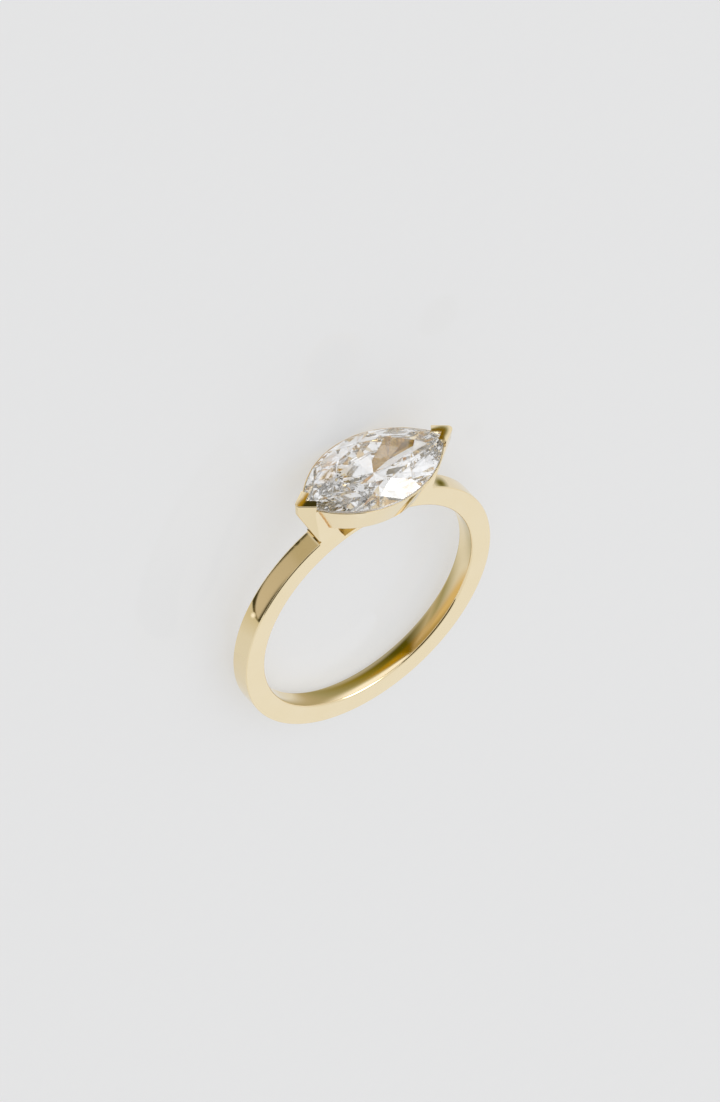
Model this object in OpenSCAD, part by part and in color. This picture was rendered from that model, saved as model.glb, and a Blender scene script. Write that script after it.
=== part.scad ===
// East-west solitaire ring: a slim polished band carries a long pointed oval
// stone across the finger, held in a tapered cup with a V claw at each point.
// Lengths are in millimetres. The ring lies on its side, stone towards -Y.

/* [Band] */
// Inner diameter of the finger hole
bore_d = 16.5; // [15:0.1:19]
// Thickness of the band, measured outwards
band_t = 1.5; // [1.3:0.05:1.8]
// Width of the band along the finger
band_w = 1.5; // [1.3:0.05:1.7]
// Rounding of the two inner edges, for comfort
inner_round = 0.15; // [0.1:0.01:0.3]
// Tiny bevel of the two outer edges
outer_bevel = 0.1; // [0.05:0.01:0.15]

/* [Stone] */
// Length of the stone from point to point
stone_l = 11; // [10.4:0.1:11.6]
// Width of the stone at its waist
stone_w = 6.1; // [5.6:0.1:6.6]
// Height of the crown above the girdle
crown_h = 0.84; // [0.7:0.02:1]
// Thickness of the girdle edge
girdle_t = 0.18; // [0.1:0.02:0.3]
// Slope of the lower main facets at the waist, in degrees
pavilion_slope = 40.5; // [38:0.5:42]
// Table size as a share of the outline
table_share = 0.58; // [0.52:0.01:0.64]

/* [Setting] */
// Height of the girdle above the outside of the band
girdle_rise = 2.62; // [2.5:0.02:2.9]
// Height of the tapered cup wall
cup_h = 2.38; // [2:0.02:2.4]
// How far the cup wall leans in from its top to its bottom
cup_taper = 0.87; // [0.6:0.01:1]
// Thickness of the cup wall
cup_wall = 0.62; // [0.5:0.01:0.75]
// How far the cup rim stands out beyond the girdle
cup_lip = 0.14; // [0.12:0.01:0.2]
// Thickness of the thin bridge of band left under the stone
bridge_t = 0.42; // [0.35:0.01:0.6]
// Height of the claw tops above the middle of the girdle
claw_rise = 0.42; // [0.36:0.01:0.5]
// Thickness of each claw arm
claw_arm = 0.58; // [0.5:0.01:0.64]
// Depth of the groove behind each claw post
groove = 0.1; // [0.06:0.01:0.14]
// Share by which the seat is larger than the stone
seat_share = 0.02; // [0.015:0.005:0.03]

/* [Hidden] */
$fn = 96;
inner_r = bore_d / 2;
outer_r = inner_r + band_t;
half_w = band_w / 2;
// Heights above the middle of the finger hole, stone upwards
girdle_z = outer_r + girdle_rise;
cup_z = girdle_z - cup_h;
claw_z = girdle_z + claw_rise;
// The outline is two arcs of this radius, their centres set off to each side
arc_r = (pow(stone_l / 2, 2) + pow(stone_w / 2, 2)) / stone_w;
arc_c = arc_r - stone_w / 2;
tip_turn = asin(stone_l / 2 / arc_r);
pavilion_h = stone_w / 2 * tan(pavilion_slope);
star_level = 0.55;
lower_level = 0.76;
// The claw post: where its foot ends on the band, and its kink above it
foot_x = stone_l / 2 - 1;
foot_in = foot_x - 1.6;
kink_z = sqrt(pow(outer_r, 2) - pow(foot_x, 2)) + 0.27;
foot_z = sqrt(pow(inner_r + band_t / 3, 2) - pow(foot_in, 2));
arm_x = stone_l / 2 - 0.35;
arm_y = 0.85;
post_in = stone_l / 2 - 1.15;
// The two arms would meet at this ridge if it were not rounded
ridge_x = stone_l / 2 + 0.92;
ridge_round = 0.3;
arm_turn = atan2(arm_y, ridge_x - arm_x);
// The ring leans until the cup rim and the band both touch the ground
lean_a = girdle_z + outer_r - outer_bevel;
lean_b = stone_w / 2 + cup_lip - half_w;
lean = atan2(lean_b, lean_a);
lift = (stone_w / 2 + cup_lip) * cos(lean) - girdle_z * sin(lean);
top_y = (girdle_z + girdle_t / 2 + crown_h) * cos(lean) + table_share * stone_w / 2 * sin(lean);
low_y = outer_r * cos(lean) + (half_w - outer_bevel) * sin(lean);

// The four main facets of one quarter meet the outline at these turns
function outline(turn) =
    [arc_r * sin(turn), arc_r * cos(turn) - arc_c];
// A quarter of the outline: main point, half point, main, half, tip
function quarter() =
    [for (i = [0 : 4]) outline(tip_turn * i / 4)];
// Corners where the side lines of neighbouring main facets would meet
function corners() =
    let (q = quarter(),
         n = [sin(tip_turn / 2), cos(tip_turn / 2)],
         reach = arc_r / cos(tip_turn / 4))
    [[reach * sin(tip_turn / 4), reach * cos(tip_turn / 4) - arc_c],
     [stone_l / 2, (q[2] * n - n[0] * stone_l / 2) / n[1]]];
// A point list of one quarter carried all round, clockwise from the waist
function all_round(a) =
    concat(a,
           [for (i = [len(a) - 2 : -1 : 0]) [a[i][0], -a[i][1]]],
           [for (i = [1 : len(a) - 1]) [-a[i][0], -a[i][1]]],
           [for (i = [len(a) - 2 : -1 : 1]) [-a[i][0], a[i][1]]]);
function lifted(a, share, z) =
    [for (p = a) [p[0] * share, p[1] * share, z]];

// The cut stone: a table, eight stars, eight kites and sixteen halves above
// the girdle; eight long kites and sixteen halves below it, to a point
module cut_stone() {
    ring16 = all_round(quarter());
    mains = [for (i = [0 : 7]) ring16[2 * i]];
    c = corners();
    ring8 = [c[0], c[1], [c[1][0], -c[1][1]], [c[0][0], -c[0][1]],
             [-c[0][0], -c[0][1]], [-c[1][0], -c[1][1]],
             [-c[1][0], c[1][1]], [-c[0][0], c[0][1]]];
    g = girdle_t / 2;
    pts = concat(lifted(mains, table_share, g + crown_h),
                 lifted(ring8, 1 - (1 - table_share) * star_level, g + crown_h * star_level),
                 lifted(ring16, 1, g),
                 lifted(ring16, 1, -g),
                 lifted(ring8, 1 - lower_level, -g - pavilion_h * lower_level),
                 [[0, 0, -g - pavilion_h]]);
    table = [for (i = [0 : 7]) i];
    up = [for (i = [0 : 7]) each [
        [8 + i, (i + 1) % 8, i],
        [8 + (i + 7) % 8, 16 + 2 * i, 8 + i, i],
        [16 + 2 * i, 17 + 2 * i, 8 + i],
        [17 + 2 * i, 16 + (2 * i + 2) % 16, 8 + i]]];
    edge = [for (i = [0 : 15])
        [32 + i, 32 + (i + 1) % 16, 16 + (i + 1) % 16, 16 + i]];
    down = [for (i = [0 : 7]) each [
        [48 + i, 32 + 2 * i, 48 + (i + 7) % 8, 56],
        [33 + 2 * i, 32 + 2 * i, 48 + i],
        [32 + (2 * i + 2) % 16, 33 + 2 * i, 48 + i]]];
    polyhedron(pts, concat([table], up, edge, down), convexity = 4);
}

// A band section: bevelled outside, rounded inside
module band_section() {
    b = outer_bevel;
    r = inner_round;
    polygon(concat(
        [[outer_r - b, -half_w], [outer_r, -half_w + b],
         [outer_r, half_w - b], [outer_r - b, half_w]],
        [for (i = [0 : 4])
            [inner_r + r - r * sin(22.5 * i), half_w - r + r * cos(22.5 * i)]],
        [for (i = [0 : 4])
            [inner_r + r - r * cos(22.5 * i), -half_w + r - r * sin(22.5 * i)]]));
}

// The band is turned about the finger's axis, which runs along y
module band() {
    rotate([90, 0, 0])
        rotate_extrude()
            band_section();
}

// A pointed oval block between two tapered drums
module pointed_oval(r_low, r_top, h) {
    intersection() {
        translate([0, arc_c, 0])
            cylinder(h = h, r1 = r_low, r2 = r_top);
        translate([0, -arc_c, 0])
            cylinder(h = h, r1 = r_low, r2 = r_top);
    }
}

// The cup wall under the girdle, open above and below
module cup() {
    r = arc_r + cup_lip;
    slope = cup_taper / cup_h;
    translate([0, 0, cup_z])
        difference() {
            pointed_oval(r - cup_taper, r, cup_h);
            translate([0, 0, -0.2])
                pointed_oval(r - cup_taper - cup_wall - 0.2 * slope,
                             r - cup_wall + 0.2 * slope, cup_h + 0.4);
        }
}

// One flat level of the claw post, as thin as paper
module level(z, pts) {
    translate([0, 0, z])
        linear_extrude(0.01)
            polygon(pts);
}

// The rounded ridge of the post, given where it would be sharp
function ridge(sharp_x) =
    let (turn = 90 - arm_turn)
    [for (i = [-3 : 3]) [sharp_x - ridge_round / sin(arm_turn) + ridge_round * cos(turn * i / 3),
                         ridge_round * sin(turn * i / 3)]];

// The claw post leans out from its foot on the band to the stone's point
module post() {
    hull() {
        level(kink_z - 0.01, [[foot_in, half_w], [foot_in, -half_w],
                              [foot_x, -half_w], [foot_x, half_w]]);
        level(girdle_z - 0.5, [[post_in, arm_y], [post_in, -arm_y], [arm_x - 0.04, -arm_y + 0.02],
                               each ridge(ridge_x - 0.1), [arm_x - 0.04, arm_y - 0.02]]);
        level(claw_z - 0.07, [[post_in, arm_y], [post_in, -arm_y], [arm_x, -arm_y],
                              each ridge(ridge_x), [arm_x, arm_y]]);
        level(claw_z - 0.01, [[post_in + 0.05, arm_y - 0.05], [post_in + 0.05, 0.05 - arm_y],
                              [arm_x - 0.02, 0.05 - arm_y], each ridge(ridge_x - 0.08),
                              [arm_x - 0.02, arm_y - 0.05]]);
    }
    translate([foot_in, -half_w, foot_z])
        cube([foot_x - foot_in, band_w, kink_z - foot_z]);
}

// What is taken away inside each claw, leaving two arms along the stone
module claw_opening() {
    in_x = ridge_x - claw_arm / sin(arm_turn);
    reach = (arm_y - claw_arm * cos(arm_turn)) / sin(arm_turn);
    end_x = in_x - reach * cos(arm_turn);
    end_y = reach * sin(arm_turn);
    far_x = end_x + 1.2 * sin(arm_turn);
    far_y = end_y + 1.2 * cos(arm_turn);
    translate([0, 0, girdle_z - girdle_t / 2])
        linear_extrude(claw_rise + 1)
            polygon([[in_x, 0], [end_x, end_y], [far_x, far_y], [post_in - 1, far_y],
                     [post_in - 1, -far_y], [far_x, -far_y], [end_x, -end_y]]);
}

// The open window between the thin bridge of band and the cup
module window() {
    difference() {
        translate([0, 3, 0])
            rotate([90, 0, 0])
                linear_extrude(6)
                    polygon([[foot_in - 0.5, inner_r - 0.1], [foot_in, kink_z],
                             [foot_in + 0.55, cup_z + 0.1], [-foot_in - 0.55, cup_z + 0.1],
                             [-foot_in, kink_z], [0.5 - foot_in, inner_r - 0.1]]);
        rotate([90, 0, 0])
            cylinder(h = 8, r = inner_r + bridge_t, center = true);
    }
}

// A small groove across the kink behind each post
module groove_cut() {
    translate([foot_x + groove * 0.3, 0, kink_z])
        rotate([90, 0, 0])
            cylinder(h = band_w + 2, r = groove, center = true, $fn = 4);
}

// All the gold, standing with the stone's side up
module gold_upright() {
    difference() {
        union() {
            difference() {
                union() {
                    band();
                    for (s = [0, 1])
                        mirror([s, 0, 0])
                            post();
                }
                window();
                for (s = [0, 1])
                    mirror([s, 0, 0]) {
                        claw_opening();
                        groove_cut();
                    }
            }
            cup();
        }
        translate([0, 0, girdle_z])
            scale(1 + seat_share)
                cut_stone();
    }
}

// Lays the upright ring down on its side
module laid() {
    translate([0, (top_y - low_y) / 2, lift])
        rotate([lean - 90, 0, 180])
            children();
}

// The band, the cup and both claws are one cast piece of gold
module band_and_setting() {
    color([0.86, 0.70, 0.42])
        laid()
            gold_upright();
}

// The stone sits in its seat with a hair of room all round
module stone() {
    color([0.93, 0.95, 0.97, 0.5])
        laid()
            translate([0, 0, girdle_z])
                cut_stone();
}

band_and_setting();
stone();
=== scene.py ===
# %% [markdown]
# # A solitaire ring with a long pointed stone
#
# The ring is a slim polished band of yellow gold. It carries a pointed oval
# diamond across the finger, in a tapered cup, with a V claw at each point.
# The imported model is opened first. It fixes where everything is, in metres:
# the ring lies on its side on the ground, with the stone towards -Y.

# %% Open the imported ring
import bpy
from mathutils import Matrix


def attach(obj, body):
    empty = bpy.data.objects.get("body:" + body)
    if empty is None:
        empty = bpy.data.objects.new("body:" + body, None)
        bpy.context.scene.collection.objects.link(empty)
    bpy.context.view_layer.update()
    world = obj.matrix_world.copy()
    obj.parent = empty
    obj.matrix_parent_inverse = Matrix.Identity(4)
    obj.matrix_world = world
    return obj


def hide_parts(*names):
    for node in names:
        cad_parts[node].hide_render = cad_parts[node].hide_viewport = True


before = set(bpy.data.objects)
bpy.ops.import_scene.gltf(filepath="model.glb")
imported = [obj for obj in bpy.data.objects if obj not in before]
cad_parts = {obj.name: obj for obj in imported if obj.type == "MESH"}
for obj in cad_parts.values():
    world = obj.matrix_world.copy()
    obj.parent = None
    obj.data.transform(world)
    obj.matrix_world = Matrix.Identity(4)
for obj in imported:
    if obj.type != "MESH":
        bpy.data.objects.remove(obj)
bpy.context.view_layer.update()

# %% Tools
import math

import bmesh
import bpy
from mathutils import Matrix, Vector

print("Blender", bpy.app.version_string)

# %% [markdown]
# ## One upright ring, laid down once
#
# A goldsmith would never work on a ring that lies askew. So each piece here
# is made upright, in millimetres, with the middle of the finger hole at the
# origin, the finger along Y and the stone up. One matrix then lays it down
# where the imported ring lies, tipped until cup and band both touch the ground.
# It could also be set on the object, but here the object stays at the
# origin, so the matrix goes into the mesh.

# %% Lay the upright ring down
MM = 0.001
LEAN = math.radians(6.32306)
SHIFT_Y = 1.825822
LIFT = 1.808233
LAID = (Matrix.Scale(MM, 4)
        @ Matrix.Translation((0, SHIFT_Y, LIFT))
        @ Matrix.Rotation(math.pi, 4, "Z")
        @ Matrix.Rotation(LEAN - math.pi / 2, 4, "X"))
print("hole centre at", tuple(LAID @ Vector((0, 0, 0))))


# %% From a bmesh to an object and back
def into_object(bm, name):
    """Puts a bmesh into a new object and frees it."""
    mesh = bpy.data.meshes.new(name)
    bm.to_mesh(mesh)
    bm.free()
    made = bpy.data.objects.new(name, mesh)
    bpy.context.scene.collection.objects.link(made)
    return made


def opened(piece):
    """A bmesh with the mesh of an object."""
    bm = bmesh.new()
    bm.from_mesh(piece.data)
    return bm


# %% [markdown]
# ## The camera
#
# The photograph was taken with a long lens, so parallel edges stay parallel.
# The view was found by lining up the band's edges and the stone's outline with
# the picture, on the upright ring, and is laid down with it. The camera stands
# more than a metre away and is turned on its side, because the ring lies on
# its side: what is up in the picture is across the ground here. A camera that
# tracks a target would stand upright, so its three axes are given instead.

# %% Camera
IMAGE_W, IMAGE_H = 720, 1102
PX_PER_MM = 15.577
HOLE_PX = (362.16, 599.24)
UPRIGHT_RIGHT = Vector((0.8029, -0.5933, 0.0584))
UPRIGHT_UP = Vector((0.4115, 0.6224, 0.6658))
LAID_TURN = LAID.to_3x3().normalized()
view_right = (LAID_TURN @ UPRIGHT_RIGHT).normalized()
view_back = view_right.cross(LAID_TURN @ UPRIGHT_UP).normalized()
view_up = view_back.cross(view_right)
DISTANCE = 1.2
SENSOR = 36.0
off_right = (IMAGE_W / 2 - HOLE_PX[0]) / PX_PER_MM * MM
off_up = (HOLE_PX[1] - IMAGE_H / 2) / PX_PER_MM * MM
aim = (LAID @ Vector((0, 0, 0))) + off_right * view_right + off_up * view_up
frame_height = IMAGE_H / PX_PER_MM * MM

camera_data = bpy.data.cameras.new("camera")
camera_data.sensor_width = SENSOR
camera_data.lens = SENSOR * DISTANCE / frame_height
camera_data.clip_start = 0.05
camera_data.clip_end = 20
camera = bpy.data.objects.new("camera", camera_data)
bpy.context.scene.collection.objects.link(camera)
turned = Matrix((view_right, view_up, view_back)).transposed().to_4x4()
camera.matrix_world = Matrix.Translation(aim + view_back * DISTANCE) @ turned
bpy.context.scene.camera = camera
bpy.context.scene.view_settings.view_transform = "Standard"
print("camera height above the ground", round(camera.location.z, 3), "lens", round(camera_data.lens))

# %% [markdown]
# ## Sizes of the gold and the stone
#
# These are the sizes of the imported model, in millimetres. They could stand
# beside each piece, but the stone, the cup, the posts and the band share most
# of them, so they are written once and the rest is worked out from them. The
# outline of the stone is two arcs of one circle size, whose centres are set
# off to each side; where the arcs cross are the two points.

# %% Sizes
BORE_R = 8.25
OUTER_R = 9.75
TRIM = 0.0015
HALF_W = 0.75
SIDE_DOME = 0.018
INNER_ROUND = 0.15
OUTER_BEVEL = 0.1
BRIDGE_R = BORE_R + 0.42

STONE_L = 11.0
STONE_W = 6.1
CROWN_H = 0.84
GIRDLE_T = 0.18
TABLE_SHARE = 0.58
STAR_LEVEL = 0.55
LOWER_LEVEL = 0.76
PAVILION_TURN = math.radians(40.5)
PAVILION_H = STONE_W / 2 * math.tan(PAVILION_TURN)
ARC_R = ((STONE_L / 2) ** 2 + (STONE_W / 2) ** 2) / STONE_W
ARC_C = ARC_R - STONE_W / 2
TIP_TURN = math.asin(STONE_L / 2 / ARC_R)

HEAD_LIFT, CUP_DEPTH, CLAW_LIFT = 2.62, 2.38, 0.42
GIRDLE_Z = OUTER_R + HEAD_LIFT
CUP_Z = GIRDLE_Z - CUP_DEPTH
CLAW_Z = GIRDLE_Z + CLAW_LIFT
CUP_TAPER = 0.87
CUP_WALL = 0.62
CUP_LIP = 0.14
FOOT_X = 4.5
FOOT_IN = 2.9
FOOT_Y = HALF_W * (1 - 1.1 * SIDE_DOME)
KINK_LIFT, FOOT_CLEAR = 0.27, 0.5
KINK_Z = math.sqrt(OUTER_R ** 2 - FOOT_X ** 2) + KINK_LIFT
FOOT_Z = math.sqrt((BORE_R + FOOT_CLEAR) ** 2 - FOOT_IN ** 2)
ARM_X, ARM_Y = 5.15, 0.85
POST_IN = 4.35
RIDGE_X = 6.42
RIDGE_ROUND = 0.3
CLAW_ARM = 0.58
GROOVE = 0.1
print("girdle at", GIRDLE_Z, "claw tops at", CLAW_Z, "kink at", round(KINK_Z, 3))

# %% [markdown]
# ## The band
#
# A band is turned or rolled from one bar. Its section is a small rectangle
# whose outer edges are crisp and whose inner edges are rounded, so that it
# slips over the knuckle. A torus has the wrong section, and bevelling the
# edges of a cylinder would need the same settings twice. So the section is
# drawn once: a rectangle whose corners are bevelled, with its sides domed by
# a hair, as polishing leaves them. Spin then turns it about the finger. The
# outside is trimmed by a hair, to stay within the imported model's own size.


# %% Draw the section and spin it
def rounded_corners(bm, corners, width, segments):
    """Rounds the given corners of a flat face."""
    bmesh.ops.bevel(bm, geom=corners, offset=width, offset_type="OFFSET",
                    segments=segments, profile=0.5, affect="VERTICES",
                    clamp_overlap=False, material=-1)


SPIN_STEPS = 288
SIDE_CUTS = 7
BEVEL_STEPS, ROUND_STEPS = 4, 8


def band_bmesh():
    bm = bmesh.new()
    bmesh.ops.create_grid(bm, x_segments=1, y_segments=1, size=0.5)
    outer = OUTER_R - TRIM
    middle = (BORE_R + outer) / 2
    bmesh.ops.scale(bm, vec=(outer - BORE_R, 2 * HALF_W, 1), verts=bm.verts)
    bmesh.ops.translate(bm, vec=(middle, 0, 0), verts=bm.verts)
    rounded_corners(bm, [v for v in bm.verts if v.co.x > middle], OUTER_BEVEL, BEVEL_STEPS)
    rounded_corners(bm, [v for v in bm.verts if v.co.x < BORE_R + 0.01], INNER_ROUND, ROUND_STEPS)
    bmesh.ops.delete(bm, geom=bm.faces[:], context="FACES_ONLY")
    sides = [e for e in bm.edges if abs(e.verts[0].co.y - e.verts[1].co.y) < 1e-6
             and abs(e.verts[0].co.y) > HALF_W - 0.001 and e.calc_length() > 0.5]
    bmesh.ops.subdivide_edges(bm, edges=sides, cuts=SIDE_CUTS)
    low, high = BORE_R + INNER_ROUND, outer - OUTER_BEVEL
    for v in bm.verts:
        share = (2 * v.co.x - low - high) / (high - low)
        if abs(v.co.y) > HALF_W / 2:
            v.co.y *= 1 - SIDE_DOME * min(1.5, share * share)
    bmesh.ops.spin(bm, geom=bm.verts[:] + bm.edges[:], cent=(0, 0, 0), axis=(0, 1, 0),
                   dvec=(0, 0, 0), angle=2 * math.pi, steps=SPIN_STEPS,
                   use_merge=True, use_normal_flip=False, use_duplicate=False)
    bmesh.ops.remove_doubles(bm, verts=bm.verts, dist=1e-5)
    bmesh.ops.recalc_face_normals(bm, faces=bm.faces)
    return bm


band = into_object(band_bmesh(), "band")
print("band faces", len(band.data.polygons))

# %% [markdown]
# ## Taking gold away and adding it
#
# Soldered gold is one solid. Blender joins and cuts solids with the Boolean
# modifier; its exact solver copes with faces that lie in one plane, which
# these pieces share. The modifier's result is taken as the new mesh at once,
# so that the next step can start from clean gold.


# %% Join and cut
CLEAN = 3e-4


def worked(piece, tool, operation):
    """Joins a tool to a piece, or cuts it out, and removes the tool."""
    step = piece.modifiers.new("step", "BOOLEAN")
    step.object = tool
    step.operation = operation
    step.solver = "EXACT"
    graph = bpy.context.evaluated_depsgraph_get()
    result = bpy.data.meshes.new_from_object(piece.evaluated_get(graph))
    piece.modifiers.clear()
    old = piece.data
    piece.data = result
    bpy.data.meshes.remove(old)
    bpy.data.objects.remove(tool)
    bm = opened(piece)
    bmesh.ops.remove_doubles(bm, verts=bm.verts, dist=CLEAN)
    bmesh.ops.dissolve_degenerate(bm, edges=bm.edges, dist=CLEAN)
    open_edges = sum(not e.is_manifold for e in bm.edges)
    print(operation.lower(), len(bm.faces), "faces,", open_edges, "open edges,",
          round(bm.calc_volume(), 2), "cubic mm")
    bm.to_mesh(piece.data)
    bm.free()
    return piece


def slab(points, low, high, name):
    """A straight block over a flat outline, from one height to another."""
    bm = bmesh.new()
    corners = [bm.verts.new((x, y, low)) for x, y in points]
    sides = [bm.edges.new(pair) for pair in zip(corners, corners[1:] + corners[:1])]
    outline = bmesh.ops.contextual_create(bm, geom=sides)
    grown = bmesh.ops.extrude_face_region(bm, geom=outline["faces"])
    bmesh.ops.translate(bm, vec=(0, 0, high - low),
                        verts=[g for g in grown["geom"] if isinstance(g, bmesh.types.BMVert)])
    bmesh.ops.recalc_face_normals(bm, faces=bm.faces)
    return into_object(bm, name)


# %% [markdown]
# ## The claw posts
#
# Each post rises from the band with a small kink at its foot, leans out to
# the stone's point and spreads into a V that holds the point between two
# arms. It is flat sided, like a piece filed from plate, and its front ridge is
# rounded, so a few levels of points wrapped in a convex hull give its form.
# The edges are softened with a bevel while the hull is whole, because its
# faces are large and the bevel stays clean. Then the hull is opened at the top
# for the stone's point, and the rim of the opening gets a smaller bevel.

# %% Hull of one post
ARM_TURN = math.atan2(ARM_Y, RIDGE_X - ARM_X)
RIDGE_STEPS = 6
WAIST_DROP = 0.5
WAIST_ARM = (ARM_X - 0.04, ARM_Y - 0.02)
WAIST_RIDGE = RIDGE_X - 0.1
FLAT = math.radians(0.4)


def ridge(sharp_x):
    """Half of the rounded ridge, given where it would be sharp."""
    centre_x = sharp_x - RIDGE_ROUND / math.sin(ARM_TURN)
    turns = [(math.pi / 2 - ARM_TURN) * i / RIDGE_STEPS for i in range(RIDGE_STEPS + 1)]
    return [(centre_x + RIDGE_ROUND * math.cos(t), RIDGE_ROUND * math.sin(t)) for t in turns]


POST_LEVELS = [
    (KINK_Z, [(FOOT_IN, FOOT_Y), (FOOT_X, FOOT_Y)]),
    (GIRDLE_Z - WAIST_DROP, [(POST_IN, ARM_Y), WAIST_ARM, *ridge(WAIST_RIDGE)]),
    (CLAW_Z, [(POST_IN, ARM_Y), (ARM_X, ARM_Y), *ridge(RIDGE_X)]),
]


def post_bmesh():
    bm = bmesh.new()
    for z, points in POST_LEVELS:
        for x, y in points:
            for side in {y, -y}:
                bm.verts.new((x, side, z))
    hull = bmesh.ops.convex_hull(bm, input=bm.verts)
    inside = {g for g in hull["geom_interior"] + hull["geom_unused"]
              if isinstance(g, bmesh.types.BMVert) and g.is_valid}
    bmesh.ops.delete(bm, geom=list(inside), context="VERTS")
    bmesh.ops.dissolve_limit(bm, angle_limit=FLAT, verts=bm.verts, edges=bm.edges)
    sole = min(bm.faces, key=lambda f: f.calc_center_median().z)
    foot = bmesh.ops.extrude_face_region(bm, geom=[sole])
    bmesh.ops.translate(bm, vec=(0, 0, FOOT_Z - KINK_Z),
                        verts=[g for g in foot["geom"] if isinstance(g, bmesh.types.BMVert)])
    bmesh.ops.delete(bm, geom=[sole], context="FACES_ONLY")
    bmesh.ops.recalc_face_normals(bm, faces=bm.faces)
    return bm


# %% Soften the post's edges
def softened(bm, edges, width):
    """Rounds edges off with a narrow bevel."""
    bmesh.ops.bevel(bm, geom=edges, offset=width, offset_type="OFFSET", segments=3,
                    profile=0.5, affect="EDGES", clamp_overlap=False, material=-1)


POST_SOFT = 0.07
CRISP = math.radians(20)
NEAR = 0.05
bm = post_bmesh()
softened(bm, [e for e in bm.edges if e.calc_face_angle(0) > CRISP
              and (e.verts[0].co + e.verts[1].co).x / 2 > POST_IN + NEAR
              and max(v.co.z for v in e.verts) > KINK_Z - NEAR], POST_SOFT)
posts = into_object(bm, "posts")
print("one post", len(posts.data.polygons), "faces")

# %% Open the claw and make its fellow
RIM_SOFT = 0.04
PAST, PAST_ARM = 1, 1.2
TOUCH = 1e-3
in_x = RIDGE_X - CLAW_ARM / math.sin(ARM_TURN)
arm_reach = (ARM_Y - CLAW_ARM * math.cos(ARM_TURN)) / math.sin(ARM_TURN)
arm_end = Vector((in_x - arm_reach * math.cos(ARM_TURN), arm_reach * math.sin(ARM_TURN)))
arm_far = arm_end + PAST_ARM * Vector((math.sin(ARM_TURN), math.cos(ARM_TURN)))
half_opening = [(in_x, 0), tuple(arm_end), tuple(arm_far), (POST_IN - PAST, arm_far.y)]
opening = half_opening + [(x, -y) for x, y in reversed(half_opening[1:])]
posts = worked(posts, slab(opening, GIRDLE_Z - GIRDLE_T / 2, CLAW_Z + PAST, "opening"), "DIFFERENCE")

bm = opened(posts)
bmesh.ops.dissolve_limit(bm, angle_limit=FLAT, verts=bm.verts, edges=bm.edges)
rim = [e for e in bm.edges if all(v.co.z > CLAW_Z - TOUCH and v.co.x < in_x + TOUCH
                                  and abs(v.co.y) < arm_end.y + TOUCH for v in e.verts)]
softened(bm, rim, RIM_SOFT)
bmesh.ops.mirror(bm, geom=bm.verts[:] + bm.edges[:] + bm.faces[:], matrix=Matrix.Identity(4),
                 merge_dist=0, axis="X")
bmesh.ops.recalc_face_normals(bm, faces=bm.faces)
bm.to_mesh(posts.data)
print("posts", len(posts.data.polygons), "faces,", sum(not e.is_manifold for e in bm.edges), "open edges")
bm.free()

# %% [markdown]
# ## The cup
#
# Under the stone's girdle runs a wall that leans in as it goes down, so the
# cup looks like a small boat. Its outline at every height is two arcs that
# cross at the points. Each arc is spun from a single corner, and two outlines
# at different heights are bridged. Four bridges close the wall: outside, rim,
# inside and foot.


# %% Outlines of the cup
ARC_STEPS = 72
CUP_SOFT = 0.09


def pointed_outline(bm, radius, z):
    """A closed outline of two arcs, both spun from the point on the left."""
    tip = math.sqrt(radius ** 2 - ARC_C ** 2)
    turn = 2 * math.asin(tip / radius)
    corner = bm.verts.new((-tip, 0, z))
    before = set(bm.edges)
    for side in (-1, 1):
        grown = bmesh.ops.spin(bm, geom=[corner], cent=(0, side * ARC_C, z), axis=(0, 0, 1),
                               dvec=(0, 0, 0), angle=-turn, steps=ARC_STEPS,
                               use_merge=False, use_normal_flip=False, use_duplicate=False)
        corner = [g for g in grown["geom_last"] if isinstance(g, bmesh.types.BMVert)][0]
    ends = [v for v in bm.verts if abs(v.co.z - z) < 1e-6 and abs(v.co.y) < 1e-4]
    bmesh.ops.remove_doubles(bm, verts=ends, dist=1e-4)
    return [e for e in bm.edges if e not in before]


def cup_bmesh():
    bm = bmesh.new()
    r = ARC_R + CUP_LIP
    levels = [(r - CUP_TAPER, CUP_Z), (r, GIRDLE_Z),
              (r - CUP_WALL, GIRDLE_Z), (r - CUP_TAPER - CUP_WALL, CUP_Z)]
    outlines = [pointed_outline(bm, radius, z) for radius, z in levels]
    for i in range(4):
        bmesh.ops.bridge_loops(bm, edges=outlines[i] + outlines[(i + 1) % 4])
    bmesh.ops.bevel(bm, geom=outlines[0] + outlines[1], offset=CUP_SOFT, offset_type="OFFSET",
                    segments=3, profile=0.5, affect="EDGES", clamp_overlap=True, material=-1)
    bmesh.ops.recalc_face_normals(bm, faces=bm.faces)
    return bm


cup = into_object(cup_bmesh(), "cup")
print("cup faces", len(cup.data.polygons))

# %% [markdown]
# ## The stone, cut one facet at a time
#
# A cutter grinds a stone flat by flat, each flat at its own angle. Bisect
# does the same: it cuts the block along a plane and throws the outer part
# away, and the hole is closed with a new facet. This keeps every facet
# perfectly flat, which a sculpted or subdivided stone never is, and flat
# facets are what makes the light inside break up. The girdle is ground
# round, so the facets above and below meet it in shallow scallops.


# %% Corners that the facets pass through
def on_outline(share):
    """A point of a quarter of the stone's outline, from waist 0 to tip 4."""
    turn = TIP_TURN * share / 4
    return Vector((ARC_R * math.sin(turn), ARC_R * math.cos(turn) - ARC_C))


def main_corners():
    """Where the side lines of neighbouring main facets meet, in a quarter."""
    reach = ARC_R / math.cos(TIP_TURN / 4)
    first = Vector((reach * math.sin(TIP_TURN / 4), reach * math.cos(TIP_TURN / 4) - ARC_C))
    normal = Vector((math.sin(TIP_TURN / 2), math.cos(TIP_TURN / 2)))
    second = Vector((STONE_L / 2, (on_outline(2) @ normal - normal.x * STONE_L / 2) / normal.y))
    return [first, second]


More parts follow.
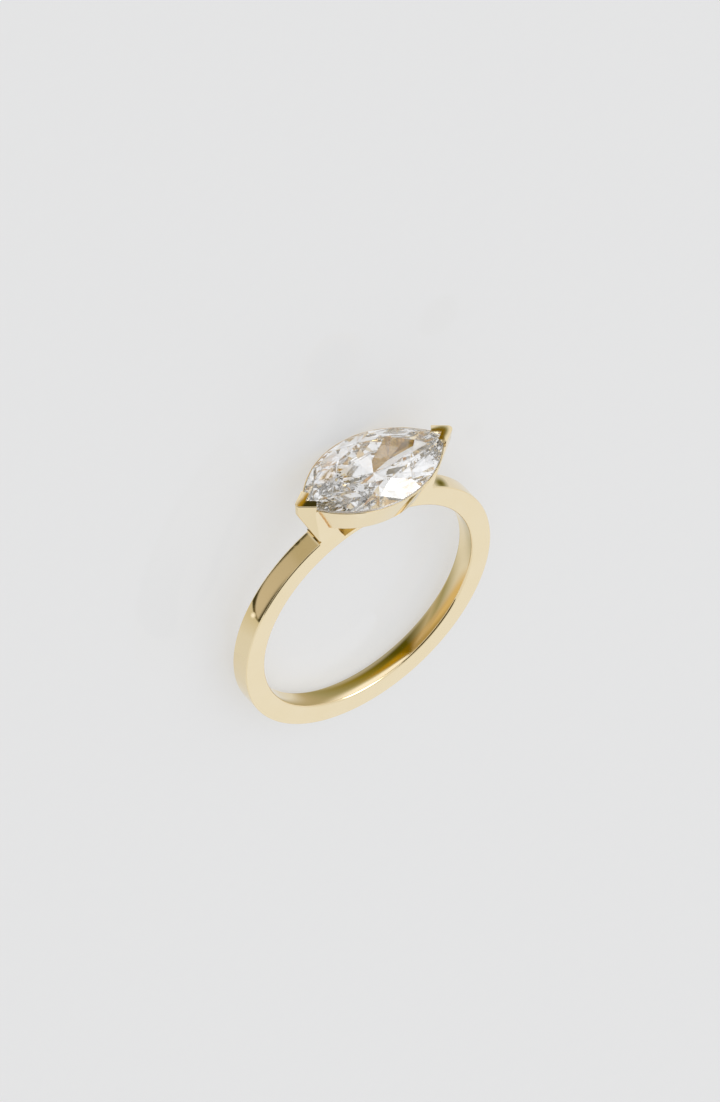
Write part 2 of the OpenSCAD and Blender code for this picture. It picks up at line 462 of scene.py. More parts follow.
def all_round(quarter):
    """Carries a quarter, waist to tip, all round the outline."""
    back = [Vector((p.x, -p.y)) for p in quarter[-2::-1]]
    right = quarter + back
    left = [Vector((-p.x, p.y)) for p in right[-2:0:-1]]
    return right + left


rim = all_round([on_outline(i) for i in range(5)])
mains = rim[::2]
upper, lower = main_corners()
corners = [upper, lower]
corners += [Vector((p.x, -p.y)) for p in (lower, upper)]
corners += [Vector((-p.x, -p.y)) for p in (upper, lower)]
corners += [Vector((-p.x, p.y)) for p in (lower, upper)]
print(len(rim), "rim points,", len(corners), "corners")


# %% Grind the facets
def raised(p, share, z):
    return Vector((p.x * share, p.y * share, z))


def facet_planes():
    """Three points of each facet, all round the stone."""
    g = GIRDLE_T / 2
    top, star, low = g + CROWN_H, g + CROWN_H * STAR_LEVEL, -g - PAVILION_H * LOWER_LEVEL
    star_share = 1 - (1 - TABLE_SHARE) * STAR_LEVEL
    point = Vector((0, 0, -g - PAVILION_H))
    planes = [[raised(p, TABLE_SHARE, top) for p in mains[:3]]]
    for i in range(8):
        here, after = mains[i], mains[(i + 1) % 8]
        between = rim[2 * i + 1]
        up = [raised(corners[i], star_share, star), raised(corners[i - 1], star_share, star)]
        down = [raised(corners[i], 1 - LOWER_LEVEL, low), raised(corners[i - 1], 1 - LOWER_LEVEL, low)]
        planes += [
            [up[0], raised(here, TABLE_SHARE, top), raised(after, TABLE_SHARE, top)],
            [raised(here, 1, g), up[0], up[1]],
            [raised(here, 1, g), raised(between, 1, g), up[0]],
            [raised(between, 1, g), raised(after, 1, g), up[0]],
            [raised(here, 1, -g), down[0], point],
            [raised(here, 1, -g), raised(between, 1, -g), down[0]],
            [raised(between, 1, -g), raised(after, 1, -g), down[0]],
        ]
    return planes


def grind(bm, place, normal):
    """Cuts away what is outside the plane and closes the cut."""
    if place.dot(normal) < 0:
        normal = -normal
    cut = bmesh.ops.bisect_plane(bm, geom=bm.verts[:] + bm.edges[:] + bm.faces[:], dist=1e-5,
                                 plane_co=place, plane_no=normal, clear_outer=True)
    edges = [g for g in cut["geom_cut"] if isinstance(g, bmesh.types.BMEdge)]
    if len(edges) > 2:
        bmesh.ops.contextual_create(bm, geom=edges)


GIRDLE_FLATS = 28


def stone_bmesh():
    bm = bmesh.new()
    bmesh.ops.create_cube(bm, size=1)
    bmesh.ops.scale(bm, vec=(STONE_L + 1, STONE_W + 1, 2 * (PAVILION_H + 1)), verts=bm.verts)
    for side in (-1, 1):
        for i in range(-GIRDLE_FLATS, GIRDLE_FLATS + 1):
            turn = TIP_TURN * i / GIRDLE_FLATS
            out = Vector((math.sin(turn), side * math.cos(turn), 0))
            grind(bm, out * ARC_R - Vector((0, side * ARC_C, 0)), out)
    for a, b, c in facet_planes():
        grind(bm, a, (b - a).cross(c - a).normalized())
    bmesh.ops.recalc_face_normals(bm, faces=bm.faces)
    return bm


bm = stone_bmesh()
print("stone", len(bm.faces), "faces,", sum(not e.is_manifold for e in bm.edges), "open edges",
      "volume", round(bm.calc_volume(), 2), "cubic mm")
stone = into_object(bm, "cut_stone")
stone.data.transform(Matrix.Translation((0, 0, GIRDLE_Z)))

# %% [markdown]
# ## One solid of gold
#
# The pieces are soldered in the order of the bench: posts onto the band, the
# window and the grooves filed out, then the cup set between the posts. Last
# the seat is cut with a copy of the stone that is two hundredths larger, as
# a setter burrs it, so that the stone has a hair of room all round. The
# window's floor is the bridge's own curve, and its ends lean with the posts.
# Each groove is cut with a square bar that stands on its edge.


# %% The window under the stone
WINDOW_FOOT = (2.499, 8.302)
WINDOW_ROOF = (FOOT_IN + 0.55, CUP_Z + 0.1)
WINDOW_STEPS = 40
WINDOW_DEPTH = 6


def window_tool():
    bm = bmesh.new()
    half_turn = math.atan2(*WINDOW_FOOT)
    start = bm.verts.new((-BRIDGE_R * math.sin(half_turn), 0, BRIDGE_R * math.cos(half_turn)))
    bmesh.ops.spin(bm, geom=[start], cent=(0, 0, 0), axis=(0, 1, 0), dvec=(0, 0, 0),
                   angle=2 * half_turn, steps=WINDOW_STEPS, use_merge=False,
                   use_normal_flip=False, use_duplicate=False)
    for v in bm.verts:
        v.co.z = math.sqrt(BRIDGE_R ** 2 - v.co.x ** 2)
    chain = sorted(bm.verts, key=lambda v: v.co.x)
    roof = [bm.verts.new((x, 0, z)) for x, z in
            ((FOOT_IN, KINK_Z), WINDOW_ROOF,
             (-WINDOW_ROOF[0], WINDOW_ROOF[1]), (-FOOT_IN, KINK_Z))]
    loop = [chain[-1], *roof, chain[0]]
    for a, b in zip(loop, loop[1:]):
        bm.edges.new((a, b))
    face = bmesh.ops.contextual_create(bm, geom=bm.edges[:])["faces"]
    grown = bmesh.ops.extrude_face_region(bm, geom=face)
    bmesh.ops.translate(bm, vec=(0, WINDOW_DEPTH, 0),
                        verts=[g for g in grown["geom"] if isinstance(g, bmesh.types.BMVert)])
    bmesh.ops.translate(bm, vec=(0, -WINDOW_DEPTH / 2, 0), verts=bm.verts)
    bmesh.ops.recalc_face_normals(bm, faces=bm.faces)
    return into_object(bm, "window")


# %% The grooves behind the posts
GROOVE_X = FOOT_X + GROOVE * 0.3
GROOVE_SIDE = GROOVE * math.sqrt(2)
GROOVE_LENGTH = 4


def groove_tool():
    bm = bmesh.new()
    for side in (-1, 1):
        made = bmesh.ops.create_cube(bm, size=1)
        bmesh.ops.scale(bm, vec=(GROOVE_SIDE, GROOVE_LENGTH, GROOVE_SIDE), verts=made["verts"])
        bmesh.ops.rotate(bm, cent=(0, 0, 0), matrix=Matrix.Rotation(math.radians(45), 3, "Y"),
                         verts=made["verts"])
        bmesh.ops.translate(bm, vec=(side * GROOVE_X, 0, KINK_Z), verts=made["verts"])
    return into_object(bm, "grooves")


# %% Solder, file and cut the seat
SEAT_ROOM = 1.02
gold = worked(band, posts, "UNION")
gold = worked(gold, window_tool(), "DIFFERENCE")
gold = worked(gold, groove_tool(), "DIFFERENCE")
gold = worked(gold, cup, "UNION")
seat = into_object(opened(stone), "seat")
seat.data.transform(Matrix.Translation((0, 0, GIRDLE_Z)) @ Matrix.Scale(SEAT_ROOM, 4)
                    @ Matrix.Translation((0, 0, -GIRDLE_Z)))
gold = worked(gold, seat, "DIFFERENCE")
gold.name = gold.data.name = "gold_ring"

# %% [markdown]
# ## Shading the gold
#
# Polished gold is a mirror, so a normal that is a little off shows at once.
# Edges sharper than the bevels' own steps stay sharp, and the rest is smooth.
# Weighted normals let the large flat faces keep their true direction, so that
# a narrow bevel doesn't bend the reflection of the face beside it.

# %% Smooth the gold and lay it down
SHARP = math.radians(26)


def smoothed(piece):
    piece.data.shade_smooth()
    piece.data.set_sharp_from_angle(angle=SHARP)
    weighted = piece.modifiers.new("weighted", "WEIGHTED_NORMAL")
    weighted.keep_sharp = True
    weighted.thresh = 0
    graph = bpy.context.evaluated_depsgraph_get()
    result = bpy.data.meshes.new_from_object(
        piece.evaluated_get(graph), preserve_all_data_layers=True, depsgraph=graph)
    piece.modifiers.clear()
    piece.data = result
    result.transform(LAID)
    print("own normals kept:", result.has_custom_normals)


smoothed(gold)
gold.data.name = "gold_ring"
stone.data.transform(LAID)
stone.data.shade_flat()
print("gold box", [round(d * 1000, 2) for d in gold.dimensions])

# %% [markdown]
# ## Shader maths as Python
#
# A finish is a tree of nodes, and most of it is arithmetic. One small class
# wraps a socket, so that sums and products are written as sums and products.
# Every other node comes from one method of the finish, which sets the kind
# of node, its settings, and the values or wires of its sockets.


# %% Wires and finishes
class Wire:
    """A socket whose value varies over a surface; a number's can be used in sums."""

    def __init__(self, finish, socket):
        self.finish, self.socket = finish, socket

    def maths(self, operation, first, second):
        made = self.finish.node("ShaderNodeMath", {"operation": operation}, {0: first, 1: second})
        return Wire(self.finish, made.outputs[0])

    def __add__(self, other):
        return self.maths("ADD", self, other)

    def __sub__(self, other):
        return self.maths("SUBTRACT", self, other)

    def __rsub__(self, other):
        return self.maths("SUBTRACT", other, self)

    def __mul__(self, other):
        return self.maths("MULTIPLY", self, other)

    def __pow__(self, other):
        return self.maths("POWER", self, other)

    def __gt__(self, other):
        return self.maths("GREATER_THAN", self, other)

    def __lt__(self, other):
        return self.maths("LESS_THAN", self, other)

    __radd__, __rmul__ = __add__, __mul__


class Finish:
    """A material or a world whose nodes are made by one method."""

    def __init__(self, owner):
        self.owner = owner
        owner.use_nodes = True
        self.tree = owner.node_tree
        self.tree.nodes.clear()

    def node(self, kind, settings=None, sockets=None):
        made = self.tree.nodes.new(kind)
        for name, value in (settings or {}).items():
            if name == "stops":
                ramp = made.color_ramp.elements
                while len(ramp) < len(value):
                    ramp.new(0.5)
                for stop, (place, colour) in zip(ramp, value):
                    stop.position, stop.color = place, (*colour, 1)
            else:
                setattr(made, name, value)
        for name, value in (sockets or {}).items():
            if isinstance(value, Wire):
                self.tree.links.new(value.socket, made.inputs[name])
            else:
                made.inputs[name].default_value = value
        return made

    def wire(self, kind, settings=None, sockets=None, output=0):
        return Wire(self, self.node(kind, settings, sockets).outputs[output])


# %% [markdown]
# ## Where a pattern sits on the ring
#
# Patterns read Object coordinates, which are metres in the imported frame. A
# Mapping node turns them back into the upright ring's millimetres. From these
# come the distance from the finger's axis and the turn around it, so that
# polishing lines can run round the band as a felt wheel leaves them.

# %% Coordinates of the upright ring
UPRIGHT = LAID.inverted()


def ring_place(finish):
    seen = finish.wire("ShaderNodeTexCoord", output=3)
    spot = finish.wire("ShaderNodeMapping", {"vector_type": "POINT"},
                       {"Vector": seen, "Location": UPRIGHT.to_translation(),
                        "Rotation": UPRIGHT.to_euler("XYZ"), "Scale": UPRIGHT.to_scale()})
    parts = finish.node("ShaderNodeSeparateXYZ", None, {0: spot})
    return spot, [Wire(finish, parts.outputs[i]) for i in range(3)]


# %% [markdown]
# ## Polished gold
#
# The gold is a warm pale yellow, polished to a mirror. Under a lens a worn
# polish is never perfect: very fine lines run round the band, the head has
# lines in all directions, and the shine is a little cloudier in some places
# than in others. Lines could be cut into the mesh, but they are far finer
# than any bevel. So they belong in the material: roughness for the haze, and
# a bump of less than two thousandths of a millimetre for the lines. The
# bridge under the stone and the grooves behind the posts are out of the
# wheel's reach, so they are less smooth. Their colour is also darkened to a
# deep amber, which is painted shade for these hollows.

# %% Gold finish
GOLD_LIGHT = (0.95, 0.81, 0.54, 1)
GOLD_DEEP = (0.93, 0.775, 0.485, 1)
# Deep amber for the bridge and the grooves: painted shade, not the gold's own colour.
PAINTED_RECESS_SHADE = (0.59, 0.38, 0.09, 1)
LINES_AROUND, LINES_ACROSS = 5, 34
WIPES, SMUDGES = 24.0, 0.45
HEAD_FROM = OUTER_R - 0.4
BRIDGE_SKIN = 0.06
BRIDGE_HALF_W = FOOT_Y - 0.03
BRIDGE_FROM = BORE_R - 0.2
GROOVE_REACH = GROOVE * 1.05
RELIEF = 2e-6
HAZE, LINE_HAZE, SMUDGE_HAZE, RECESS_HAZE = 0.035, 0.05, 0.03, 0.04

gold_finish = Finish(bpy.data.materials.new("polished_gold"))
spot, (x, y, z) = ring_place(gold_finish)
radius = (x * x + z * z) ** 0.5
around = gold_finish.wire("ShaderNodeMath", {"operation": "ARCTAN2"}, {0: x, 1: z})
band_lines = gold_finish.wire("ShaderNodeCombineXYZ", None,
                              {0: around * LINES_AROUND, 1: y * LINES_ACROSS,
                               2: radius * LINES_ACROSS})
lines = gold_finish.wire("ShaderNodeTexNoise", None,
                         {"Vector": band_lines, "Scale": 1.0, "Detail": 3.0, "Roughness": 0.6})
wipes = gold_finish.wire("ShaderNodeTexNoise", None,
                         {"Vector": spot, "Scale": WIPES, "Detail": 4.0, "Roughness": 0.65})
smudge = gold_finish.wire("ShaderNodeTexNoise", None,
                          {"Vector": spot, "Scale": SMUDGES, "Detail": 2.0})
on_head = z > HEAD_FROM
fine = lines * (1 - on_head) + wipes * on_head
bridge = ((radius > BRIDGE_R - BRIDGE_SKIN) * (radius < BRIDGE_R + BRIDGE_SKIN)
          * (y * y < BRIDGE_HALF_W ** 2) * (z > BRIDGE_FROM))
groove_x = (x * x) ** 0.5 - GROOVE_X
groove_z = z - KINK_Z
# Mask of the bridge and the grooves: it adds roughness there and carries the painted shade.
recess_haze_and_shade = bridge + (groove_x * groove_x + groove_z * groove_z < GROOVE_REACH ** 2)
rough = HAZE + LINE_HAZE * fine * smudge + SMUDGE_HAZE * smudge + RECESS_HAZE * recess_haze_and_shade
polished = gold_finish.wire("ShaderNodeMix", {"data_type": "RGBA"},
                            {"Factor": smudge, "A": GOLD_LIGHT, "B": GOLD_DEEP}, output=2)
shade = gold_finish.wire("ShaderNodeMix", {"data_type": "RGBA"},
                         {"Factor": recess_haze_and_shade, "A": polished, "B": PAINTED_RECESS_SHADE}, output=2)
relief = gold_finish.wire("ShaderNodeBump", None,
                          {"Strength": 0.12, "Distance": RELIEF, "Height": fine})
surface = gold_finish.wire("ShaderNodeBsdfPrincipled", None,
                           {"Base Color": shade, "Metallic": 1.0, "Roughness": rough, "Normal": relief})
gold_finish.node("ShaderNodeOutputMaterial", None, {"Surface": surface})
gold.data.materials.clear()
gold.data.materials.append(gold_finish.owner)
print("gold finish", len(gold_finish.tree.nodes), "nodes")

# %% [markdown]
# ## The stone's finish
#
# Diamond bends light more than nearly any other clear stone, with an index
# of refraction of 2.42, and that is its whole look: clear facets, and a girdle
# that is left finely ground between them. The girdle could have a material of
# its own, but one finish is easier to keep together. So a mask from the
# height finds the girdle, and only the roughness changes there.

# %% Diamond finish
DIAMOND_IOR = 2.417
GIRDLE_EDGE = 0.004
GIRDLE_GRAIN = 30.0
GIRDLE_ROUGH, GIRDLE_UNEVEN = 0.2, 0.25
stone_finish = Finish(bpy.data.materials.new("diamond"))
spot, (x, y, z) = ring_place(stone_finish)
girdle = (z > GIRDLE_Z - GIRDLE_T / 2 + GIRDLE_EDGE) * (z < GIRDLE_Z + GIRDLE_T / 2 - GIRDLE_EDGE)
ground = stone_finish.wire("ShaderNodeTexNoise", None,
                           {"Vector": spot, "Scale": GIRDLE_GRAIN, "Detail": 3.0})
rough = girdle * (GIRDLE_ROUGH + GIRDLE_UNEVEN * ground)
surface = stone_finish.wire("ShaderNodeBsdfPrincipled", None,
                            {"Base Color": (1, 1, 1, 1), "Roughness": rough, "IOR": DIAMOND_IOR,
                             "Transmission Weight": 1.0})
stone_finish.node("ShaderNodeOutputMaterial", None, {"Surface": surface})
stone.data.materials.clear()
stone.data.materials.append(stone_finish.owner)
print("diamond finish", len(stone_finish.tree.nodes), "nodes")

# %% [markdown]
# ## How far light may travel
#
# Light in a diamond bounces between the facets many times before it leaves.
# With Blender's usual limit a part of it is lost, and the stone turns dark.
# So light is given more bounces here than a scene of wood or cloth needs.

# %% Light paths
BOUNCES = 32
MIRROR_BOUNCES = 24
paths = bpy.context.scene.cycles
paths.max_bounces = paths.transmission_bounces = BOUNCES
paths.glossy_bounces = MIRROR_BOUNCES
print("light may bounce", paths.max_bounces, "times")

# %% [markdown]
# ## The table
#
# The ring lies on a pale matt table, in a tent of white cloth where light
# comes from all sides and shadows are faint. A plain white paint would do,
# but its shadows are stronger than that. So a part of the table's brightness
# is a steady glow, and the rest is grey paint with a very fine grain.

# %% Table
TABLE_GLOW = 0.47
TABLE_DARK = (0.345, 0.345, 0.345, 1)
TABLE_LIGHT = (0.355, 0.355, 0.35, 1)
TABLE_GRAIN = 900.0
TABLE_HALF = 3
floor_finish = Finish(bpy.data.materials.new("pale_table"))
seen = floor_finish.wire("ShaderNodeTexCoord", output=3)
grain = floor_finish.wire("ShaderNodeTexNoise", None,
                          {"Vector": seen, "Scale": TABLE_GRAIN, "Detail": 3.0})
table_colour = floor_finish.wire("ShaderNodeMix", {"data_type": "RGBA"},
                                 {"Factor": grain, "A": TABLE_DARK, "B": TABLE_LIGHT}, output=2)
surface = floor_finish.wire("ShaderNodeBsdfPrincipled", None,
                            {"Base Color": table_colour, "Roughness": 0.6,
                             "Specular IOR Level": 0.2, "Emission Color": (1, 1, 1, 1),
                             "Emission Strength": TABLE_GLOW})
floor_finish.node("ShaderNodeOutputMaterial", None, {"Surface": surface})
bm = bmesh.new()
bmesh.ops.create_grid(bm, x_segments=1, y_segments=1, size=TABLE_HALF)
table = into_object(bm, "table")
table.data.materials.append(floor_finish.owner)
print("table, metres across", round(table.dimensions.x, 2))

# %% [markdown]
# ## The tent and its window
#
# White cloth all round gives the same pale light from every direction, and an
# even world colour does the same. A picture of a real studio could light the
# scene too, but it is one more file, and it would put things into the gold
# that aren't there. One large soft lamp stands for the window that the tent
# faces, and gives the faint shadow its direction.

# %% Tent
TENT_LIGHT = 0.82
TENT_COLOUR = (0.98, 0.985, 1.0, 1)
tent = Finish(bpy.data.worlds.new("tent"))
bpy.context.scene.world = tent.owner
light = tent.wire("ShaderNodeBackground", None, {"Color": TENT_COLOUR, "Strength": TENT_LIGHT})
tent.node("ShaderNodeOutputWorld", None, {"Surface": light})
print("tent light", TENT_LIGHT)


# %% Window lamp
def lamp(name, towards, distance, size, watts):
    """A soft square lamp that faces the ring from the given direction."""
    data = bpy.data.lights.new(name, "AREA")
    data.shape = "SQUARE"
    data.size = size
    data.energy = watts
    made = bpy.data.objects.new(name, data)
    bpy.context.scene.collection.objects.link(made)
    way = Vector(towards).normalized()
    made.location = way * distance
    made.rotation_mode = "QUATERNION"
    made.rotation_quaternion = way.to_track_quat("Z", "Y")
    made.visible_camera = False
    return made


WINDOW_WAY = (-0.43, -0.72, 0.55)
window_lamp = lamp("window", WINDOW_WAY, distance=0.6, size=0.5, watts=0.15)
print("window lamp at", [round(c, 2) for c in window_lamp.location])

# %% [markdown]
# ## Cards for the gold and the stone to mirror
#
# Polished gold shows only what is around it, so a photographer stands cards
# beside it, and its own shoulder, cup and table show in it too. Each card here
# is a flat sheet that glows in its own colour and is seen by reflections,
# while the camera, the shadows and the light on the table pass it by. Real
# props would do as well, but their light would spill over everything. A card
# in the air is a rectangle. A card on the table is a part of a flat ring,
# because the band is round, and so is the place that it mirrors.


# %% A card that reflections see
def glowing(made, shade):
    glow = made.wire("ShaderNodeEmission", None, {"Color": shade, "Strength": 1.0})
    made.node("ShaderNodeOutputMaterial", None, {"Surface": glow})
    return made.owner


def card(bm, name, finish):
    """A flat card that only reflections see, until it is told otherwise."""
    made = into_object(bm, name)
    made.data.materials.append(finish)
    made.visible_camera = made.visible_diffuse = made.visible_shadow = False
    made.visible_transmission = False
    return made


# %% A card on the table
TABLE_CARD_HEIGHT = 0.03
SPOT_HEIGHT = 0.05
ARC_CARD_STEPS = 48


def arc_card(name, centre, inner, outer, start, end, height, finish):
    """A part of a flat ring on the table, in millimetres, and degrees from +X."""
    bm = bmesh.new()
    ends = [Vector((math.cos(math.radians(start)), math.sin(math.radians(start)), 0)) * r * MM
            for r in (inner, outer)]
    line = [bm.verts.new(p) for p in ends]
    line.append(bm.edges.new(line))
    bmesh.ops.spin(bm, geom=line, cent=(0, 0, 0), axis=(0, 0, 1), dvec=(0, 0, 0),
                   angle=math.radians(end - start), steps=ARC_CARD_STEPS, use_merge=False,
                   use_normal_flip=False, use_duplicate=False)
    bmesh.ops.translate(bm, vec=Vector((centre[0], centre[1], height)) * MM, verts=bm.verts)
    return card(bm, name, finish)


# %% [markdown]
# ## Colours that change across a card
#
# The mirrored places are round, so each colour is found from two numbers: the
# distance from a centre and the direction around it. Colour ramps turn a
# number into a shade, a soft step gives an edge the blur of a real one, and a
# mix lays one shade over another. Painting a picture for the card would be
# quicker, but a few numbers can be read, changed and explained.


# %% Shades from distance and direction
def polar(made, centre):
    """Distance from a centre in millimetres and direction in degrees."""
    seen = made.wire("ShaderNodeTexCoord", output=3)
    spot = made.wire("ShaderNodeMapping", {"vector_type": "POINT"},
                     {"Vector": seen, "Scale": (1 / MM, 1 / MM, 1 / MM),
                      "Location": (-centre[0], -centre[1], 0)})
    parts = made.node("ShaderNodeSeparateXYZ", None, {0: spot})
    x, y = Wire(made, parts.outputs[0]), Wire(made, parts.outputs[1])
    angle = made.wire("ShaderNodeMath", {"operation": "ARCTAN2"}, {0: y, 1: x}) * (180 / math.pi)
    return (x * x + y * y) ** 0.5, angle


def graded(made, value, stops):
    """Colours set at values, blended in between."""
    low, high = stops[0][0], stops[-1][0]
    places = [((place - low) / (high - low), colour) for place, colour in stops]
    return made.wire("ShaderNodeValToRGB", {"stops": places}, {0: (value - low) * (1 / (high - low))})


def soft_step(made, value, low, high):
    """Goes softly from 0 to 1 between two values, which may also fall."""
    return made.wire("ShaderNodeMapRange", {"interpolation_type": "SMOOTHSTEP"},
                     {"Value": value, "From Min": low, "From Max": high})


def at_least(made, value, least):
    """The value, or the least one where it falls below."""
    return made.wire("ShaderNodeMath", {"operation": "MAXIMUM"}, {0: value, 1: least})


def blended(made, share, first, second):
    """Two colours, the second by its share."""
    return made.wire("ShaderNodeMix", {"data_type": "RGBA"},
                     {"Factor": share, "A": first, "B": second}, output=2)


# %% [markdown]
# ## The card for the left shoulder
#
# The left shoulder of the band mirrors a tan field with a thin dark rim. The
# field ends in a rounded corner, past which the gold is pale again. Distance
# from the card's centre runs across the band there, and direction runs along
# it. So the corner is where a power of the one and a power of the other add up
# to 1, which gives a rounder or a squarer corner as the powers change. Beyond
# the end the card turns pale through honey, and before the post it stops on a
# slant.

# %% Panel card
PALE = (0.745, 0.745, 0.74)
DARK = (0.045, 0.04, 0.012)
TAN = (0.49, 0.435, 0.31)
SAND = (0.54, 0.485, 0.38)
BISQUE = (0.60, 0.545, 0.455)
UMBER = (0.16, 0.12, 0.04)
DUN = (0.30, 0.27, 0.16)
HONEY = (0.65, 0.61, 0.49)

PANEL_CENTRE = (1.2, -2.8)
PANEL_IN, PANEL_OUT = 9.0, 15.5
PANEL_FROM, PANEL_TO = -80, 30
PANEL_EDGE = 12.3
CORNER_FROM, CORNER_TURN, CORNER_REACH = -30, 36, 2.5
CORNER_SOFT = (0.93, 1.07)
FRONT_RIM, FRONT_RIM_TURN = (11.95, 12.2), (-35, -8)
END_BOW, END_TURN = 9.4, (6.8, 7.8)
POST_REACH, POST_SLANT, POST_TURN = 9.6, 0.5, (-56.3, -57.8)


def panel_colour(name):
    """A tan card with a dark rim that draws in round one rounded end."""
    made = Finish(bpy.data.materials.new(name))
    radius, angle = polar(made, PANEL_CENTRE)
    along = at_least(made, angle - CORNER_FROM, 0.0) * (1 / CORNER_TURN)
    across = (PANEL_EDGE - radius) * (1 / CORNER_REACH)
    shade = graded(made, angle, [(PANEL_FROM, TAN), (-42, TAN), (-36, SAND), (-2, BISQUE),
                                 (PANEL_TO, BISQUE)])
    rim_shade = graded(made, radius, [(10.6, DARK), (11.3, UMBER), (PANEL_EDGE, DUN)])
    rounding = along * along * along + across * across
    shade = blended(made, soft_step(made, rounding, *CORNER_SOFT), shade, rim_shade)
    front_rim = soft_step(made, radius, *FRONT_RIM) * soft_step(made, angle, *FRONT_RIM_TURN)
    shade = blended(made, front_rim, shade, (*DARK, 1))
    past_end = soft_step(made, angle + END_BOW * across * across, *END_TURN)
    end_shade = graded(made, angle, [(7, HONEY), (19, PALE), (PANEL_TO, PALE)])
    shade = blended(made, past_end, shade, end_shade)
    before = soft_step(made, angle + POST_SLANT * (radius - POST_REACH), *POST_TURN)
    return glowing(made, blended(made, before, shade, (*PALE, 1)))


panel = arc_card("card_panel", PANEL_CENTRE, PANEL_IN, PANEL_OUT, PANEL_FROM, PANEL_TO,
                 TABLE_CARD_HEIGHT, panel_colour("card_panel"))
print("panel card", len(panel.data.polygons), "faces,",
      len(panel.active_material.node_tree.nodes), "nodes")

# %% [markdown]
# ## The card for the inside of the band
#
# The inner face of the band mirrors streaks of white, amber, olive and brown
# that cross it at a slant and grow wider towards its back edge. They fan out
# from one spot, so direction is counted from the fan's middle line and divided
# by the square of the distance to its root. Lines of one colour are then the
# fan's own bent rays. The front half and the back half of the face have their
# own shades, softly joined, the root is browner, and the far edge is paler.

# %% Inner card
WHITE = (1.05, 1.05, 1.1)
FAWN = (0.53, 0.50, 0.33)
GINGER = (0.42, 0.255, 0.01)
BROWN = (0.19, 0.12, 0.002)
CLAY = (0.57, 0.44, 0.25)
APRICOT = (0.69, 0.52, 0.25)
REED = (0.35, 0.33, 0.19)
MOSS = (0.25, 0.20, 0.025)
PEAT = (0.09, 0.08, 0.004)

HOLE_CENTRE = (1.5, -0.5)
INNER_IN, INNER_OUT = 7.0, 11.0
INNER_FROM, INNER_TO = 62, 175
FAN_TURN, FAN_REACH, FAN_LEAST = 121.5, 7.5, 0.15
FAN_END = 16
FRONT_TO_BACK = (8.6, 9.2)
ROOT_REACH, ROOT_FAN, ROOT_SHARE = (8.4, 7.9), (-10, -6), 0.5
FAR_REACH, FAR_SHARE = (9.6, 10.1), 0.45


def inner_colour(name):
    """Streaks that fan out from one spot, so that they cross the inner face."""
    made = Finish(bpy.data.materials.new(name))
    radius, angle = polar(made, HOLE_CENTRE)
    fan = (angle - FAN_TURN) * at_least(made, radius - FAN_REACH, FAN_LEAST) ** -2
    front = graded(made, fan, [(-FAN_END, WHITE), (-9.6, WHITE), (-7.5, FAWN), (-5.6, GINGER),
                               (-2.6, GINGER), (-0.8, BROWN), (0.4, BROWN), (3.3, CLAY), (7, CLAY),
                               (9.5, APRICOT), (FAN_END, APRICOT)])
    back = graded(made, fan, [(-FAN_END, PALE), (-13.5, PALE), (-10.5, TAN), (-7.8, REED), (-4, MOSS),
                              (-1, PEAT), (0.1, PEAT), (1.5, DUN), (2.6, TAN), (4.2, REED), (8, PALE),
                              (FAN_END, PALE)])
    shade = blended(made, soft_step(made, radius, *FRONT_TO_BACK), front, back)
    root = ROOT_SHARE * soft_step(made, radius, *ROOT_REACH) * soft_step(made, fan, *ROOT_FAN)
    shade = blended(made, root, shade, (*BROWN, 1))
    far_edge = FAR_SHARE * soft_step(made, radius, *FAR_REACH)
    return glowing(made, blended(made, far_edge, shade, (*PALE, 1)))


inside = arc_card("card_inner", HOLE_CENTRE, INNER_IN, INNER_OUT, INNER_FROM, INNER_TO,
                  TABLE_CARD_HEIGHT, inner_colour("card_inner"))
print("inner card", len(inside.data.polygons), "faces,",
      len(inside.active_material.node_tree.nodes), "nodes")

# %% [markdown]
# ## Spots for the small faces
#
# The flat tops of the claws, the floor of the window, the right shoulder and
# the end of the panel each mirror one small place on the table. A round spot
# whose shade changes with the distance from its centre is enough for each. A
# spot lies a hair above the other cards, because two faces at one height
# flicker through each other.

# %% Spots
EMBER = (1.0, 0.68, 0.3)
OLIVE = (0.12, 0.11, 0.025)
KHAKI = (0.23, 0.22, 0.085)
SPOTS = [
    ("card_left_claw", (0.9, -17.9),
     [(0, DARK), (1.55, DARK), (1.9, GINGER), (2.15, GINGER), (2.6, PALE)]),
    ("card_right_claw", (-7.6, -17.3), [(0, BROWN), (1.3, BROWN), (1.48, KHAKI), (1.7, PALE)]),
    ("card_window_side", (2.6, -13.4),
     [(0, EMBER), (0.4, EMBER), (0.75, WHITE), (1.8, WHITE), (2.1, PALE)]),
    ("card_glint", (12.28, -1.56), [(0, WHITE), (0.12, WHITE), (0.38, HONEY)]),
    ("card_notch", (7.42, -9.58), [(0, DARK), (0.6, DARK), (0.7, TAN)]),
    ("card_shoulder", (-10.3, -5.8), [(0, OLIVE), (0.15, OLIVE), (0.45, KHAKI), (1.25, PALE)]),
]


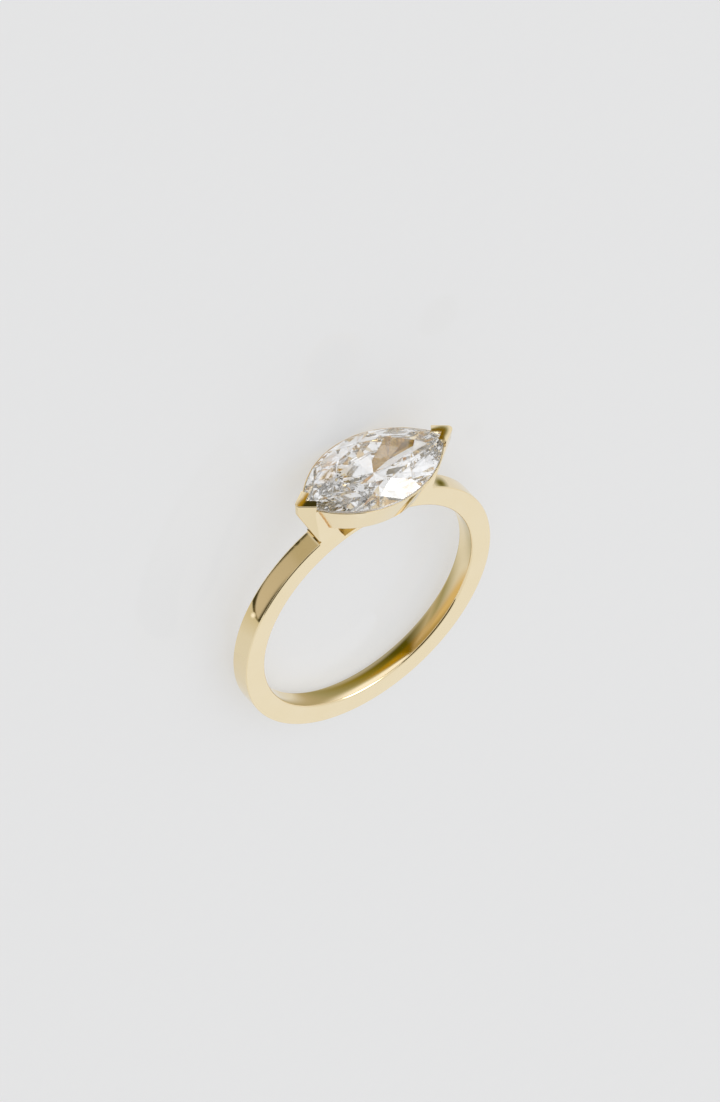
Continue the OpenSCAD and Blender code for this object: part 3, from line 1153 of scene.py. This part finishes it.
def round_colour(name, centre, stops):
    """Colours that change with the distance from a centre."""
    made = Finish(bpy.data.materials.new(name))
    return glowing(made, graded(made, polar(made, centre)[0], stops))


for name, spot, stops in SPOTS:
    arc_card(name, spot, 0, stops[-1][0], 0, 360, SPOT_HEIGHT, round_colour(name, spot, stops))
print("spots", len(SPOTS))

# %% [markdown]
# ## Cards in the air
#
# The window is mirrored as one bright square, which lights the flash on a
# facet of the stone and must not be seen through the stone as well. A pale
# card behind the ring, and two shaded ones, at the side and around the lens,
# give the stone its light and dark. So the stone sees those three through
# its facets too.

# %% Air cards
SHADE = (0.12, 0.10, 0.055)
BRIGHT = (0.86, 0.88, 0.94)
GLARE = (4.6, 4.6, 4.6)


def air_card(name, way, distance, size, colour):
    """A rectangle, in metres, that faces the ring from the given direction."""
    way = Vector(way).normalized()
    bm = bmesh.new()
    bmesh.ops.create_grid(bm, x_segments=1, y_segments=1, size=0.5)
    bmesh.ops.scale(bm, vec=(size[0], size[1], 1), verts=bm.verts)
    bmesh.ops.rotate(bm, cent=(0, 0, 0), matrix=way.to_track_quat("Z", "Y").to_matrix(), verts=bm.verts)
    bmesh.ops.translate(bm, vec=way * distance, verts=bm.verts)
    return card(bm, name, glowing(Finish(bpy.data.materials.new(name)), (*colour, 1)))


air_card("card_window", WINDOW_WAY, 0.3, (0.17, 0.17), GLARE)
for seen_through in (air_card("card_back", (-0.43, 0.80, 0.43), 0.3, (0.36, 0.36), BRIGHT),
                     air_card("card_dim", (0.70, -0.37, 0.61), 0.3, (0.36, 0.44), SHADE),
                     air_card("card_camera", view_back, 0.4, (0.16, 0.16), SHADE)):
    seen_through.visible_transmission = True
    print(seen_through.name, "at", [round(c, 2) for c in seen_through.data.polygons[0].center])

# %% [markdown]
# ## The pieces in the imported nodes' place
#
# Both pieces ride on the ring's one body and stand for the two imported
# nodes, whose meshes are hidden.

# %% Bodies and hidden nodes
for piece, node_name, slot_name in ((gold, "band_and_setting", "gold"), (stone, "stone", "stone")):
    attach(piece, "root")
    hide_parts(node_name)
